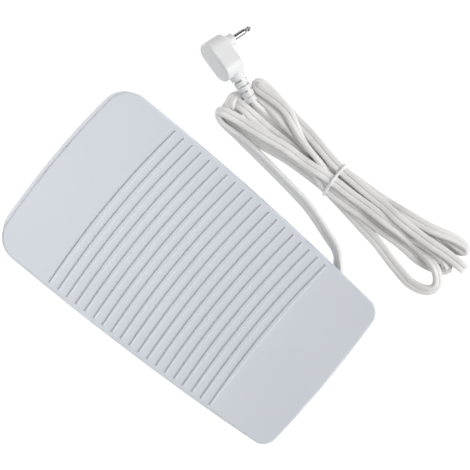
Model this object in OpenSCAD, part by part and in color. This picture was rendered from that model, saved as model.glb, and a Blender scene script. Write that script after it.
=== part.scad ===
/* [Treadle cover] */
// Length of the cover along its sloping top
cover_l = 203; // [180:1:230]
// Width of the cover at its widest point
cover_w = 117.6; // [110:0.2:140]
// Distance of the widest point from the toe end
widest_from_toe = 47.5; // [30:0.5:80]
// Radius of the bowed long sides
side_r = 1750; // [1200:10:3000]
// Radius of the bowed toe end
toe_r = 490; // [300:10:1200]
// Radius of the bowed heel end
heel_r = 600; // [300:10:1200]
// Corner radius at the toe end
toe_corner_r = 16; // [10:0.5:22]
// Corner radius at the heel end
heel_corner_r = 10; // [7:0.5:14]
// Rounding along the top edge
edge_r = 1.5; // [0.8:0.1:2.2]
// Thickness of the top plate
plate_t = 3; // [2.4:0.1:4]
// Thickness of the skirt wall
skirt_t = 2.4; // [1.8:0.1:3]
// Depth of the skirt at the heel end
skirt_heel = 14.5; // [13:0.5:15]
// Depth of the skirt at the toe end
skirt_toe = 33; // [28:0.5:36]

/* [Grip ribs] */
// Number of ribs
rib_count = 19; // [1:1:20]
// Distance from one rib to the next
rib_pitch = 6.45; // [5:0.05:7]
// Width of a rib's foot at the centre line
rib_w = 3.3; // [2.4:0.1:4]
// Height of a rib
rib_h = 0.9; // [0.4:0.1:1.6]
// Width lost by each flank of a rib
rib_draft = 0.8; // [0.1:0.05:1.2]
// Plan radius of a rib's flank on the toe side
rib_toe_r = 510; // [400:10:1000]
// Plan radius of a rib's flank on the heel side
rib_heel_r = 1000; // [600:10:1500]
// Distance of the first rib from the toe end
rib_from_toe = 40.2; // [25:0.1:50]
// Gap from a rib's end to the long edge
rib_inset = 3.3; // [2:0.1:10]

/* [Hinge and travel] */
// Slope of the cover at rest
rest_slope = 9; // [8:0.5:10]
// Travel of the treadle
travel = 6; // [4:0.5:6.5]
// Distance of the hinge axis from the heel end
hinge_from_heel = 20; // [17:0.5:24]
// Height of the hinge axis over the floor
hinge_z = 13; // [12:0.5:15]
// Height of the top plane over the hinge axis
top_over_hinge = 15.1; // [14.5:0.1:17]
// Diameter of the hinge pin
pin_d = 4; // [3:0.5:5]
// Radial running clearance on pins and shafts
run_gap = 0.05; // [0.03:0.01:0.08]
// Radius of the lugs and posts around the pin
lug_r = 5.5; // [4.5:0.1:6]
// Thickness of a cover lug
lug_t = 6; // [4:0.5:8]
// Thickness of a base post
post_t = 6; // [4:0.5:8]
// Distance of a post's middle from the outside of the base's wall
post_x = 14.2; // [12:0.1:20]
// Side clearance between lug and post
lug_gap = 0.4; // [0.3:0.1:0.8]
// Thickness of a retaining clip
clip_t = 0.8; // [0.5:0.1:1.2]
// Outer diameter of a retaining clip
clip_d = 9; // [7:0.5:9.5]

/* [Base] */
// Gap between skirt and base wall along the sides
side_gap = 1; // [0.8:0.1:1.6]
// Gap between skirt and base wall at the toe
toe_gap = 1.8; // [1.5:0.1:2.6]
// Gap between skirt and base wall at the heel
heel_gap = 1.4; // [1.2:0.1:2]
// Thickness of the base walls
wall_t = 2.4; // [1.8:0.1:3]
// Thickness of the base floor
floor_t = 2.4; // [2:0.1:3]
// Gap between the wall tops and the cover at either end of its travel
wall_gap = 1.2; // [0.8:0.1:2]
// Diameter of a rubber foot
foot_d = 13; // [10:0.5:14]
// Height of the feet under the base
foot_h = 3; // [2.5:0.1:4]
// Depth of the pocket that holds a foot
foot_pocket = 0.8; // [0.5:0.1:1.2]

/* [Catch hooks] */
// Distance of a hook from the centre line
hook_x = 24; // [20:0.5:28]
// Width of a hook
hook_w = 8; // [5:0.5:10]
// Thickness of a hook's arm
hook_t = 2.4; // [1.8:0.1:2.8]
// Reach of a hook's barb into its window
hook_reach = 1.8; // [1.2:0.1:2.2]
// Height of a hook's barb
barb_h = 2.6; // [2:0.1:3.5]
// Depth of a barb's upper face under the plate
barb_depth = 23.5; // [22:0.1:24.5]
// Clearance of a hook in its window
hook_gap = 0.4; // [0.3:0.1:0.8]

/* [Return springs] */
// Distance of a spring from the hinge axis
spring_y = 118; // [116:0.5:124]
// Distance of a spring from the centre line
spring_x = 36; // [32:0.5:40]
// Outer diameter of a spring
spring_d = 12; // [10:0.5:13]
// Diameter of the spring wire
wire_d = 1.3; // [1:0.1:1.6]
// Number of turns
spring_turns = 7; // [5:1:9]
// Height of the spring seat over the base floor
seat_h = 1; // [0.5:0.1:2]
// Height of the spigots inside the spring
spigot_h = 4; // [2:0.5:5]

/* [Bump stops] */
// Distance of a bump stop from the toe end
bump_from_toe = 33; // [30:0.5:38]
// Distance of a bump stop from the centre line
bump_x = 22; // [16:0.5:30]
// Diameter of a bump stop
bump_d = 9; // [7:0.5:11]
// Height of a bump stop
bump_h = 6; // [4:0.5:8]
// Gap left over a bump stop at full travel
bump_gap = 0.3; // [0.2:0.05:0.5]

/* [Gearing] */
// Gear module
gear_module = 0.8; // [0.7:0.05:0.9]
// Teeth on the pinion
pinion_teeth = 18; // [17:1:20]
// Teeth on the sector's full circle
sector_teeth = 240; // [236:1:244]
// Pressure angle
pressure_angle = 20; // [18:1:22]
// Backlash at the pitch circle
backlash = 0.2; // [0.14:0.02:0.3]
// Height of the pinion's axis over the hinge axis
pinion_rise = 8; // [7.5:0.1:8.4]
// Thickness of the sector plate
sector_t = 3; // [2:0.1:4]
// Distance of the sector's left face from the centre line
sector_x = 5; // [4:0.1:6]
// Width of the pinion
pinion_w = 6; // [4:0.1:6]
// Thickness of the sector's flange
flange_t = 2.2; // [1.6:0.1:2.6]
// Width of the sector's flange
flange_w = 13; // [11:0.5:16]
// Height of the bosses under the cover that carry the flange
boss_h = 3; // [2.5:0.1:3.2]

/* [Potentiometer] */
// Diameter of the housing
pot_d = 16; // [12:0.5:16.5]
// Length of the housing
pot_l = 8.8; // [7:0.1:10]
// Diameter of the threaded bushing
bushing_d = 8; // [7.5:0.1:8.5]
// Length of the bushing in front of the housing
bushing_l = 3.6; // [3.4:0.1:3.8]
// Diameter of the shaft
shaft_d = 6; // [4:0.5:6]
// Thickness of the fixing nut
nut_t = 2; // [1.6:0.1:2.2]
// Width of the fixing nut across its flats
nut_w = 11; // [10:0.5:12]
// Thickness of the steel bracket
bracket_t = 1.2; // [1:0.1:1.5]
// Width of the steel bracket
bracket_w = 22; // [20:0.5:26]
// Depth of the bracket's foot
bracket_foot = 13; // [11:0.5:14]

/* [Circuit board] */
// Width of the board
board_w = 34; // [30:0.5:36]
// Length of the board
board_l = 36; // [32:0.5:40]
// Thickness of the board
board_t = 1.6; // [1:0.1:2]
// Distance of the board's right edge from the outside of the base's wall
board_wall = 6.9; // [5.9:0.1:8.9]
// Distance of the board's heel edge from the hinge axis
board_y = 42; // [40:0.5:44]
// Height of the posts under the board
board_post_h = 4; // [3:0.1:5]
// Distance of the board's screws from its edges
board_inset = 3.5; // [3.2:0.1:5]

/* [Cord and clamp] */
// Distance of the cord's exit from the hinge axis
exit_y = 12.8; // [12:0.2:16]
// Height of the cord's exit over the floor
exit_z = 8.4; // [8.4:0.1:9]
// Width of the flat cord
cord_w = 6.6; // [6:0.1:7]
// Thickness of the flat cord
cord_t = 3.3; // [3:0.1:3.3]
// Clearance round the cord in its grommet
cord_gap = 0.1; // [0.05:0.01:0.2]
// Wall of the grommet
grommet_t = 0.7; // [0.5:0.1:0.7]
// Thickness of the grommet's flanges
flange_lip = 0.6; // [0.4:0.1:0.7]
// Reach of the grommet's flanges
flange_reach = 0.5; // [0.3:0.1:0.5]
// Width of the clamp bar along the cord
clamp_w = 5; // [4:0.5:6]
// Thickness of the clamp bar
clamp_t = 2; // [1.5:0.1:2.5]
// Height of the folded hank
hank_h = 11; // [9:0.5:14]

/* [Jack plug] */
// Diameter of the plug's sleeve
sleeve_d = 3.5; // [3.5:0.1:3.5]
// Length of the plug's sleeve
sleeve_l = 9.5; // [8:0.1:10]
// Length of the insulating ring
ring_l = 0.9; // [0.5:0.1:1.2]
// Length of the tip
tip_l = 4.5; // [3.5:0.1:5]
// Thickness of the moulded body
plug_t = 14; // [12:0.1:14.5]
// Depth of the moulded body along the pin
plug_depth = 13.5; // [12:0.1:14]
// Length of the moulded body from the pin towards the boot
plug_back = 19; // [17:0.5:20]
// Rounding of the moulded body
plug_round = 1.2; // [0.8:0.1:2]
// Diameter of the tapered shoulder at the body
shoulder_d = 11; // [9:0.1:12]
// Length of the tapered shoulder
shoulder_l = 3; // [2:0.1:4]
// Diameter of the collar at the pin
collar_d = 7.5; // [6:0.1:8]
// Length of the collar
collar_l = 3.4; // [2:0.1:4]
// Length of the boot
boot_l = 18; // [16:0.5:19]
// Diameter of the boot at the body
boot_d = 9.8; // [8:0.1:10.4]
// Diameter of the boot at the cord
boot_end_d = 6.4; // [5.6:0.1:7]
// Number of slots in the boot
boot_slots = 4; // [2:1:5]
// Width of a slot in the boot
slot_w = 1.1; // [0.6:0.1:1.5]

/* [Hidden] */
$fn = 64;

// Circles of the bowed sides are so large that they need many segments
BIG_FN = 1080;
BIG_R = 100;
// Overlap of bodies that are joined into one piece
JOIN = 0.5;
// Reach of a cutting body past what it cuts
PAST = 1;
// Excess of a corner's radius, so that its round face crosses the sides and isn't tangent to them
CORNER_EASE = 0.03;
// Share of the edge rounding at a corner's rim, so that the two rims cross
CORNER_RIM = 0.8;

// Cover frame: origin on the hinge axis, y along the plate to the toe, z normal to the plate
heel_v = -hinge_from_heel;
toe_v = cover_l - hinge_from_heel;
widest_v = toe_v - widest_from_toe;
under_w = top_over_hinge - plate_t;
skirt_slope = atan((skirt_toe - skirt_heel) / cover_l);
pressed_slope = rest_slope - travel;

// The hinge axis lies so that the pedal's box is centred on the origin
heel_reach = (heel_v + edge_r) * cos(rest_slope) - (top_over_hinge - edge_r) * sin(rest_slope) - edge_r;
toe_reach = toe_v * cos(rest_slope) - (top_over_hinge - skirt_toe) * sin(rest_slope);
hinge_y = -(heel_reach + toe_reach) / 2;

// Base: lengths counted from the hinge axis
base_inset = skirt_t + side_gap;
base_heel = heel_v + skirt_t + heel_gap;
base_toe = toe_v - skirt_t - toe_gap;
floor_z = foot_h + floor_t;

// Hinge pin and its clips
hinge_x = base_half_width(0) - post_x;
groove_x = hinge_x + post_t / 2 + lug_gap / 2;
groove_d = pin_d - 1;
pin_end = 1.2;
clip_gap = 0.05;
clip_eye_d = 1.6;
clip_eye_x = (groove_d + clip_d) / 4;

// Gearing
pinion_r = gear_module * pinion_teeth / 2;
sector_r = gear_module * sector_teeth / 2;
gear_centres = pinion_r + sector_r;
mesh_angle = asin(pinion_rise / gear_centres);
pinion_y = gear_centres * cos(mesh_angle);
pinion_z = hinge_z + pinion_rise;
tooth_step = 360 / sector_teeth;
first_tooth = -1;
last_tooth = ceil(travel / tooth_step) + 1;
pinion_x = sector_x + (sector_t - pinion_w) / 2;
FLANK_STEPS = 5;
DEDENDUM = 1.25;

// Screws
screw_d = 2.2;
screw_head_d = 4.4;
screw_head_h = 1.6;
screw_gap = 0.05;

// Free cord: laid out from the place beside the cover where it leaves the base
cord_at = [cover_w / 2, hinge_y + exit_y, 0];
lead_lay = [[-2.8, 1.7, 8.2], [-0.2, 3.8, 7.6], [2.4, 6.2, 6.8], [5.2, 10.5, 5.4], [7.7, 18, 3.6],
    [11, 28, 2], [13.6, 38, 1.75], [15, 48, 1.75], [16.1, 58, 1.75], [17, 68, 1.75], [17.8, 76, 1.75],
    [18.4, 84, 1.75], [18.8, 91, 1.75], [19.1, 98, 1.75]];
hank_lobes = [[23.5, 111.2, 5.2], [31.5, 109, 4.8], [50.4, 103.6, 5], [24, -41.5, 10], [44, -53.2, 3.8],
    [52.7, -45.5, 5]];
hank_edge = [[18.3, 111.2], [25.5, 36], [14, -41.5], [24, -51.5], [36, -51], [44, -57], [52.7, -50.5],
    [57.7, -45.5], [47, -4], [46.8, 36], [51, 68], [55.4, 103.6], [45.4, 103.6], [45.4, 101], [36.3, 101],
    [36.3, 109], [31.5, 109], [23.5, 111.2]];
hank_waist_y = 36;
hank_waist_x = [25.5, 46.8];

// Plug: crossing of the pin axis with the body's middle, and its turn on the floor
plug_at = [52.2, 137.6, 12.2];
plug_yaw = -14;
plug_roll = 28;
boot_bend = -1;
boot_drop = 12;
boot_shift = -1.9;

// Return springs
spring_low = floor_z + seat_h;
spring_seat_d = spring_d + 3;
spring_high = under_z(spring_y - spring_seat_d / 2, rest_slope) - 1;
spring_gap = 0.05;
spigot_d = spring_d - 2 * wire_d - 0.8;
COIL_STEPS = 14;

// Bump stops
bump_y = toe_v - bump_from_toe;
bump_top = under_z(bump_y - bump_d / 2, pressed_slope) - bump_gap;
bump_cup = 1.5;
bump_round = 1.5;
bump_post_d = bump_d + 3;

// Catch hooks: the arm stays clear of the bowed wall over the whole travel
hook_wall_r = toe_r - base_inset - wall_t;
hook_side = hook_x + hook_w / 2;
hook_wall = base_toe - wall_t - hook_wall_r + sqrt(pow(hook_wall_r, 2) - pow(hook_side, 2));
barb_high_w = under_w - barb_depth;
barb_low_w = barb_high_w - barb_h;
hook_v = sqrt(pow(hook_wall - hook_gap, 2) - pow(barb_low_w, 2));
barb_v = hook_wall + hook_reach;
window_high = hinge_z + barb_v * sin(rest_slope) + barb_high_w * cos(rest_slope) + hook_gap;
window_low = hinge_z + hook_v * sin(pressed_slope) + barb_low_w * cos(pressed_slope) - hook_gap;

// Sector: hangs from two bosses under the cover
sector_root = sector_r - DEDENDUM * gear_module;
sector_top = under_w - boss_h;
sector_back = 17;
sector_low_back = 7;
flange_end = 1;
boss_d = 7;
flange_hole_inset = 4;
flange_hole_x = sector_x - flange_w / 2;
flange_holes = [sector_root - sector_back + flange_hole_inset, sector_root - flange_end - flange_hole_inset];
plate_skin = 1.6;
sector_bite = boss_h + plate_t - plate_skin;

// Potentiometer: stacked along x from the pinion
pinion_side_gap = 0.5;
bushing_x = pinion_x + pinion_w + pinion_side_gap;
pot_x = bushing_x + bushing_l;
bracket_x = pot_x - bracket_t;
pot_back_t = 1.5;
shaft_stub = 0.8;
shaft_end_gap = 0.5;
bracket_hole_inset = 4;
bracket_hole_x = bracket_x + bracket_foot - bracket_hole_inset;
bracket_holes = [for (side = [-1, 1]) pinion_y + side * (bracket_w / 2 - bracket_hole_inset)];
bracket_top = pinion_z + nut_w / 2 + 1;
bracket_corner_r = 3;
floor_skin = 0.5;
floor_bite = floor_t - floor_skin;
terminal_l = 6;
terminal_w = 2;
terminal_t = 0.5;
terminal_step = 4;
terminal_x = pot_x + pot_l / 3;
terminal_y = pinion_y - pot_d / 2 - terminal_l;

// Circuit board
board_right = base_half_width(board_y) - board_wall;
board_x = board_right - board_w;
board_z = floor_z + board_post_h;
board_top = board_z + board_t;
board_post_d = 6;
board_holes = [for (x = [board_x + board_inset, board_right - board_inset])
    for (y = [board_y + board_inset, board_y + board_l - board_inset]) [x, y]];
resistor_d = 2.4;
resistor_l = 6.5;
resistor_gap = 0.2;
resistor_span = 11;
resistor_step = 5;
resistor_count = 3;
leg_r = 0.3;
pad_x = board_x + board_w / 3;
pad_inset = 3;
connector_w = 8;
connector_d = 6;
connector_h = 6.5;
connector_x = board_right - board_inset - screw_head_d - connector_w;

// Feet: distance from the centre line and from the hinge axis
foot_taper = 0.6;
foot_out = 4;
foot_in = 2;
foot_places = [[hinge_x + foot_out, base_heel + foot_d],
    [base_half_width(widest_v) - foot_d, base_toe - foot_d - foot_in]];

// Cord entry, square to the bowed wall
wall_turn = asin((widest_v - exit_y) / side_r);
exit_x = base_half_width(exit_y);
grommet_w = cord_w + 2 * (cord_gap + grommet_t);
grommet_h = cord_t + 2 * (cord_gap + grommet_t);
flange_seat = 0.02;
inner_lip = -wall_t - flange_seat - flange_lip;
clamp_x = -7.2;
clamp_hole_out = 3.2;
clamp_hole = cord_w / 2 + clamp_hole_out;
clamp_l = 2 * clamp_hole + screw_head_d + 1;
clamp_side_gap = 0.4;
saddle_w = cord_w - clamp_side_gap;
clamp_top = exit_z + cord_t / 2 + cord_gap + clamp_t;
lead_end = -12.5;
lead_start = [for (along = [lead_end, -8.5, -4, 0, 2.2])
    [exit_x + along * cos(wall_turn), hinge_y + exit_y - along * sin(wall_turn), exit_z]];
lead_route = concat(lead_start, [for (p = lead_lay) cord_at + p]);
core_r = 0.7;
core_at = cord_w / 4;
core_gap = 0.1;
wire_slack = 12;
wire_seat = 4;
wire_turn = 3.2;

// Plug
plug_tail = 10.2;
plug_face = plug_depth - plug_tail;
collar_face = plug_face + shoulder_l + collar_l;
boot_sink = 4;
boot_core_r = 2.7;
sleeve_sink = 6;
stem_d = sleeve_d - 0.6;
ring_d = sleeve_d - 0.8;
ring_step = 0.15;
tip_r = sleeve_d / 2 - ring_step / 2;
tip_end_r = 0.6;
tail_gap = 0.02;
tip_neck_r = 1;
boot_dir = in_plug([-cos(boot_drop) * sin(boot_bend), -cos(boot_drop) * cos(boot_bend), -sin(boot_drop)]);
boot_end = plug_at + in_plug([boot_shift, boot_sink - plug_back, 0]) + boot_dir * (boot_sink + boot_l);
tail_lay = [for (along = [tail_gap, 2, 4, 6]) boot_end + boot_dir * along];

// Tie round the waist of the hank
tie_t = 1;
tie_w = 2.4;
tie_gap = 0.05;

// Sheet thickness that clears everything when it is used to cut
WIDE = 3 * cover_l;

function unit(v) = v / norm(v);

// Direction of the plug's own frame as one of the part's frame
function in_plug(v) =
    let (x = v[0] * cos(plug_roll) + v[2] * sin(plug_roll), z = v[2] * cos(plug_roll) - v[0] * sin(plug_roll))
    [x * cos(plug_yaw) - v[1] * sin(plug_yaw), x * sin(plug_yaw) + v[1] * cos(plug_yaw), z];

function polar(r, a) = [r * cos(a), r * sin(a)];

// Point where two circles meet, on the left of the line from a to b when turn is 1
function circles_meet(a, ra, b, rb, turn) =
    let (d = norm(b - a), e = (b - a) / d, h = (d * d + ra * ra - rb * rb) / (2 * d), q = sqrt(ra * ra - h * h))
    a + e * h + turn * q * [-e[1], e[0]];

// Half width of the cover at a place along it
function half_width(v) = cover_w / 2 - side_r + sqrt(side_r * side_r - pow(v - widest_v, 2));

// Half width of the base's outer face at a distance from the hinge
function base_half_width(y) = half_width(y) - base_inset;

module at_cover() {
    translate([0, hinge_y, hinge_z]) rotate([rest_slope, 0, 0]) children();
}

module at_hinge() {
    translate([0, hinge_y, 0]) children();
}

// Turns a drawing in the plane of y and z into a plate along x
module across(x, thickness) {
    translate([x, 0, 0]) rotate([90, 0, 90]) linear_extrude(thickness) children();
}

module bar(x, length, r) {
    translate([x, 0, 0]) rotate([0, 90, 0]) cylinder(r = r, h = length);
}

module both_sides() {
    children();
    mirror([1, 0, 0]) children();
}

// Disc between two heights, with a rounded upper rim
module disc(r, low, high, edge) {
    fn = r > BIG_R ? BIG_FN : $fn;
    if (edge == 0) {
        translate([0, 0, low]) cylinder(r = r, h = high - low, $fn = fn);
    } else {
        rotate_extrude($fn = fn) {
            translate([0, low]) square([r, high - edge - low]);
            translate([0, low]) square([r - edge, high - low]);
            translate([r - edge, high - edge]) intersection() {
                circle(r = edge, $fn = 48);
                square(edge);
            }
        }
    }
}

// Cuts one sharp corner back to a round one
module corner_cut(side_at, side_ra, end_at, end_ra, r, turn, low, high, edge) {
    mid = circles_meet(side_at, side_ra - r, end_at, end_ra - r, turn);
    to_side = unit(mid - side_at);
    to_end = unit(mid - end_at);
    reach = 2 * r;
    difference() {
        translate([0, 0, low - PAST]) linear_extrude(high - low + 2 * PAST)
            polygon([mid, mid + to_side * reach, mid + (to_side + to_end) * reach, mid + to_end * reach]);
        translate([mid[0], mid[1], 0]) disc(r + CORNER_EASE, low - 2 * PAST, high, edge * CORNER_RIM);
    }
}

// Body with bowed sides and ends and round corners, the plan form of the cover and the base
module bowed_form(heel, toe, inset, low, high, edge = 0) {
    side_at = [cover_w / 2 - side_r, widest_v];
    toe_at = [0, toe - toe_r + inset];
    heel_at = [0, heel + heel_r - inset];
    side_ra = side_r - inset;
    difference() {
        intersection() {
            translate([side_at[0], side_at[1], 0]) rotate(180) disc(side_ra, low, high, edge);
            translate([-side_at[0], side_at[1], 0]) disc(side_ra, low, high, edge);
            translate([0, toe_at[1], 0]) disc(toe_r - inset, low, high, edge);
            translate([0, heel_at[1], 0]) disc(heel_r - inset, low, high, edge);
        }
        both_sides() {
            corner_cut(side_at, side_ra, toe_at, toe_r - inset, toe_corner_r - inset, 1, low, high, edge);
            corner_cut(side_at, side_ra, heel_at, heel_r - inset, heel_corner_r - inset, -1, low, high, edge);
        }
    }
}

// Tube along a route, with its section given in the sideways and upward directions
module sweep(route, section) {
    n = len(section);
    last = len(route) - 1;
    points = [for (i = [0:last])
        let (t = unit(route[min(i + 1, last)] - route[max(i - 1, 0)]),
            side = unit(cross(t, [0, 0, 1])), up = cross(side, t))
        for (q = section) route[i] + side * q[0] + up * q[1]];
    sides = [for (i = [0:last - 1]) for (j = [0:n - 1])
        let (a = i * n + j, b = i * n + (j + 1) % n)
        each [[a, b, a + n], [b, b + n, a + n]]];
    polyhedron(points, concat([[for (j = [n - 1:-1:0]) j]], sides, [[for (j = [0:n - 1]) last * n + j]]));
}

function round_section(r, n) = [for (j = [0:n - 1]) polar(r, 360 * j / n)];

// Flat section with round long edges
function flat_section(w, t) =
    [for (side = [1, -1]) for (a = [-75:30:75]) side * ([(w - t) / 2, 0] + polar(t / 2, a))];

// Pan-head screw pointing down from the underside of its head
module screw(length) {
    recess_l = 2.6;
    recess_w = 0.6;
    recess_depth = 0.7;
    translate([0, 0, -length]) cylinder(d = screw_d, h = length + screw_head_h / 2);
    difference() {
        cylinder(d = screw_head_d, h = screw_head_h);
        for (turn = [0, 90])
            rotate(turn) translate([-recess_l / 2, -recess_w / 2, screw_head_h - recess_depth])
                cube([recess_l, recess_w, recess_depth + PAST]);
    }
}

function roll_angle(base_r, r) = r <= base_r ? 0 : let (a = acos(base_r / r)) tan(a) * 180 / PI - a;

// Both flanks of one involute tooth, root to tip and back
function tooth(teeth, mid) =
    let (pitch_r = gear_module * teeth / 2, base_r = pitch_r * cos(pressure_angle),
        half = 90 / teeth - backlash * 45 / (PI * pitch_r) + roll_angle(base_r, pitch_r),
        root_r = pitch_r - DEDENDUM * gear_module,
        radii = [for (i = [0:FLANK_STEPS]) root_r + (1 + DEDENDUM) * gear_module * i / FLANK_STEPS],
        low = [for (r = radii) polar(r, mid - half + roll_angle(base_r, r))],
        high = [for (r = radii) polar(r, mid + half - roll_angle(base_r, r))])
    concat(low, [for (i = [FLANK_STEPS:-1:0]) high[i]]);

// Height of the cover's underside over the floor, at a distance from the hinge and a slope
function under_z(y, slope) = hinge_z + (under_w + y * sin(slope)) / cos(slope);

module hinge_profile(height) {
    circle(lug_r);
    translate([-lug_r, min(0, height)]) square([2 * lug_r, abs(height)]);
}

module at_pinion() {
    translate([0, pinion_y, pinion_z]) children();
}

// Cord exit: x outward through the wall, y along the wall
module at_exit(z = 0) {
    at_hinge() translate([exit_x, exit_y, z]) rotate([0, 0, -wall_turn]) children();
}

// Place of the free cord on the floor beside the pedal
module at_cord() {
    translate(cord_at) children();
}

// Flat bar with round long edges, along x
module flat_bar(x, length, w, h) {
    translate([x, 0, 0]) rotate([90, 0, 90]) linear_extrude(length) {
        translate([-(w - h) / 2, -h / 2]) square([w - h, h]);
        for (side = [-1, 1]) translate([side * (w - h) / 2, 0]) circle(d = h);
    }
}

module base_tray() {
    difference() {
        bowed_form(base_heel, base_toe, base_inset, foot_h, WIDE / 4);
        bowed_form(base_heel + wall_t, base_toe - wall_t, base_inset + wall_t, floor_z, WIDE / 2);
        for (slope = [rest_slope, pressed_slope]) translate([0, 0, hinge_z]) rotate([slope, 0, 0])
            translate([-WIDE / 2, -WIDE / 2, under_w - wall_gap]) cube(WIDE);
        for (side = [-1, 1])
            translate([side * hook_x - hook_w / 2 - hook_gap, hook_v, window_low])
                cube([hook_w + 2 * hook_gap, base_toe, window_high - window_low]);
    }
}

module base_posts() {
    both_sides() {
        translate([0, 0, hinge_z]) across(hinge_x - post_t / 2, post_t) hinge_profile(floor_z - hinge_z - JOIN);
        translate([spring_x, spring_y, floor_z - JOIN]) {
            cylinder(d = spring_seat_d, h = seat_h + JOIN);
            cylinder(d = spigot_d, h = seat_h + spigot_h + JOIN);
        }
        translate([bump_x, bump_y, floor_z - JOIN])
            cylinder(d = bump_post_d, h = bump_top - bump_h + bump_cup - floor_z + JOIN);
    }
    for (p = board_holes)
        translate([p[0], p[1], floor_z - JOIN]) cylinder(d = board_post_d, h = board_post_h + JOIN);
}

module base_shell() {
    color([0.80, 0.82, 0.84]) difference() {
        union() {
            at_hinge() {
                base_tray();
                base_posts();
            }
            at_exit() translate([clamp_x - clamp_w / 2, -saddle_w / 2, floor_z - JOIN])
                cube([clamp_w, saddle_w, exit_z - cord_t / 2 - cord_gap - floor_z + JOIN]);
        }
        at_hinge() base_holes();
        at_exit() for (side = [-1, 1])
            pilot([clamp_x, side * clamp_hole, floor_z - floor_bite], floor_t);
        at_exit(exit_z) flat_bar(-2 * wall_t, 4 * wall_t, grommet_w, grommet_h);
    }
}

module base_holes() {
    translate([0, 0, hinge_z]) bar(-hinge_x - post_t, 2 * (hinge_x + post_t), pin_d / 2 + run_gap / 2);
    both_sides() {
        for (p = foot_places)
            translate([p[0], p[1], foot_h - PAST]) cylinder(d = foot_d, h = foot_pocket + PAST);
        translate([bump_x, bump_y, bump_top - bump_h]) cylinder(d = bump_d, h = bump_cup + PAST);
    }
    for (p = board_holes)
        pilot([p[0], p[1], floor_z - floor_bite], board_post_h + floor_t);
    for (y = bracket_holes)
        pilot([bracket_hole_x, y, floor_z - floor_bite], floor_t);
}

module pilot(at, depth) {
    translate(at) cylinder(d = screw_d + 2 * screw_gap, h = depth + PAST);
}

module rubber_feet() {
    color([0.16, 0.16, 0.17]) at_hinge() both_sides() for (p = foot_places)
        translate([p[0], p[1], 0]) {
            cylinder(d1 = foot_d - 2 * foot_taper, d2 = foot_d, h = foot_h / 2);
            translate([0, 0, foot_h / 2]) cylinder(d = foot_d, h = foot_h / 2 + foot_pocket);
        }
}

// Pin along the hinge axis, with a groove for a clip outside each post
module hinge_pin() {
    end_x = groove_x + clip_t + pin_end;
    color([0.70, 0.71, 0.72]) at_hinge() translate([0, 0, hinge_z]) difference() {
        bar(-end_x, 2 * end_x, pin_d / 2);
        for (side = [-1, 1]) difference() {
            bar(side * (groove_x + clip_t / 2) - clip_t / 2, clip_t, pin_d);
            bar(side * (groove_x + clip_t / 2) - clip_t, 2 * clip_t, groove_d / 2);
        }
    }
}

module hinge_clips() {
    bore_d = groove_d + 2 * clip_gap;
    color([0.55, 0.56, 0.58]) at_hinge() translate([0, 0, hinge_z]) both_sides()
        across(groove_x + clip_gap, clip_t - 2 * clip_gap) difference() {
            circle(d = clip_d);
            circle(d = bore_d);
            translate([-bore_d / 2, 0]) square([bore_d, clip_d]);
            for (side = [-1, 1]) translate([side * clip_eye_x, -clip_eye_d / 2]) circle(d = clip_eye_d);
        }
}

// Height of the coil's middle line: closed end turns, open turns between them
function coil_z(turn, height) =
    let (closed = 1.1 * wire_d, open = (height - wire_d - 2 * closed) / (spring_turns - 2))
    wire_d / 2 + (turn < 1 ? turn * closed
        : turn > spring_turns - 1 ? height - wire_d - (spring_turns - turn) * closed
        : closed + (turn - 1) * open);

module coil_spring(height) {
    coil_r = (spring_d - wire_d) / 2;
    route = [for (i = [0:spring_turns * COIL_STEPS])
        let (turn = i / COIL_STEPS)
        concat(polar(coil_r, 360 * turn), coil_z(turn, height))];
    sweep(route, round_section(wire_d / 2, 6));
}

module return_springs() {
    color([0.60, 0.61, 0.63]) at_hinge() both_sides()
        translate([spring_x, spring_y, spring_low + spring_gap])
            coil_spring(spring_high - spring_low - 2 * spring_gap);
}

module bump_stops() {
    color([0.15, 0.15, 0.16]) at_hinge() both_sides()
        translate([bump_x, bump_y, 0]) disc(bump_d / 2, bump_top - bump_h, bump_top, bump_round);
}

module pot_bracket() {
    color([0.66, 0.67, 0.69]) at_hinge() difference() {
        union() {
            across(bracket_x, bracket_t) {
                translate([pinion_y - bracket_w / 2, floor_z])
                    square([bracket_w, bracket_top - bracket_corner_r - floor_z]);
                translate([pinion_y - bracket_w / 2 + bracket_corner_r, floor_z])
                    square([bracket_w - 2 * bracket_corner_r, bracket_top - floor_z]);
                for (side = [-1, 1])
                    translate([pinion_y + side * (bracket_w / 2 - bracket_corner_r), 0])
                        translate([0, bracket_top - bracket_corner_r]) circle(bracket_corner_r);
            }
            translate([bracket_x, pinion_y - bracket_w / 2, floor_z])
                cube([bracket_foot, bracket_w, bracket_t]);
        }
        at_pinion() bar(bracket_x - PAST, bracket_t + 2 * PAST, bushing_d / 2 + screw_gap);
        for (y = bracket_holes)
            pilot([bracket_hole_x, y, floor_z - PAST], bracket_t + PAST);
    }
}

module bracket_screws() {
    color([0.75, 0.75, 0.77]) at_hinge() for (y = bracket_holes)
        translate([bracket_hole_x, y, floor_z + bracket_t]) screw(bracket_t + floor_bite - screw_gap);
}

module pot_housing() {
    color([0.30, 0.32, 0.34]) at_hinge() at_pinion() difference() {
        union() {
            bar(pot_x, pot_l, pot_d / 2);
            bar(bushing_x, bushing_l + JOIN, bushing_d / 2);
        }
        bar(bushing_x - PAST, pot_x + pot_l - pot_back_t - bushing_x + PAST, shaft_d / 2 + run_gap);
    }
}

module pot_nut() {
    color([0.72, 0.72, 0.70]) at_hinge() at_pinion() across(bracket_x - nut_t, nut_t) difference() {
        circle(d = nut_w / cos(30), $fn = 6);
        circle(d = bushing_d + 2 * screw_gap);
    }
}

module pot_terminals() {
    color([0.80, 0.72, 0.45]) at_hinge() for (i = [-1:1])
        translate([terminal_x, terminal_y, pinion_z + i * terminal_step - terminal_w / 2])
            cube([terminal_t, terminal_l + terminal_inset(i), terminal_w]);
}

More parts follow.
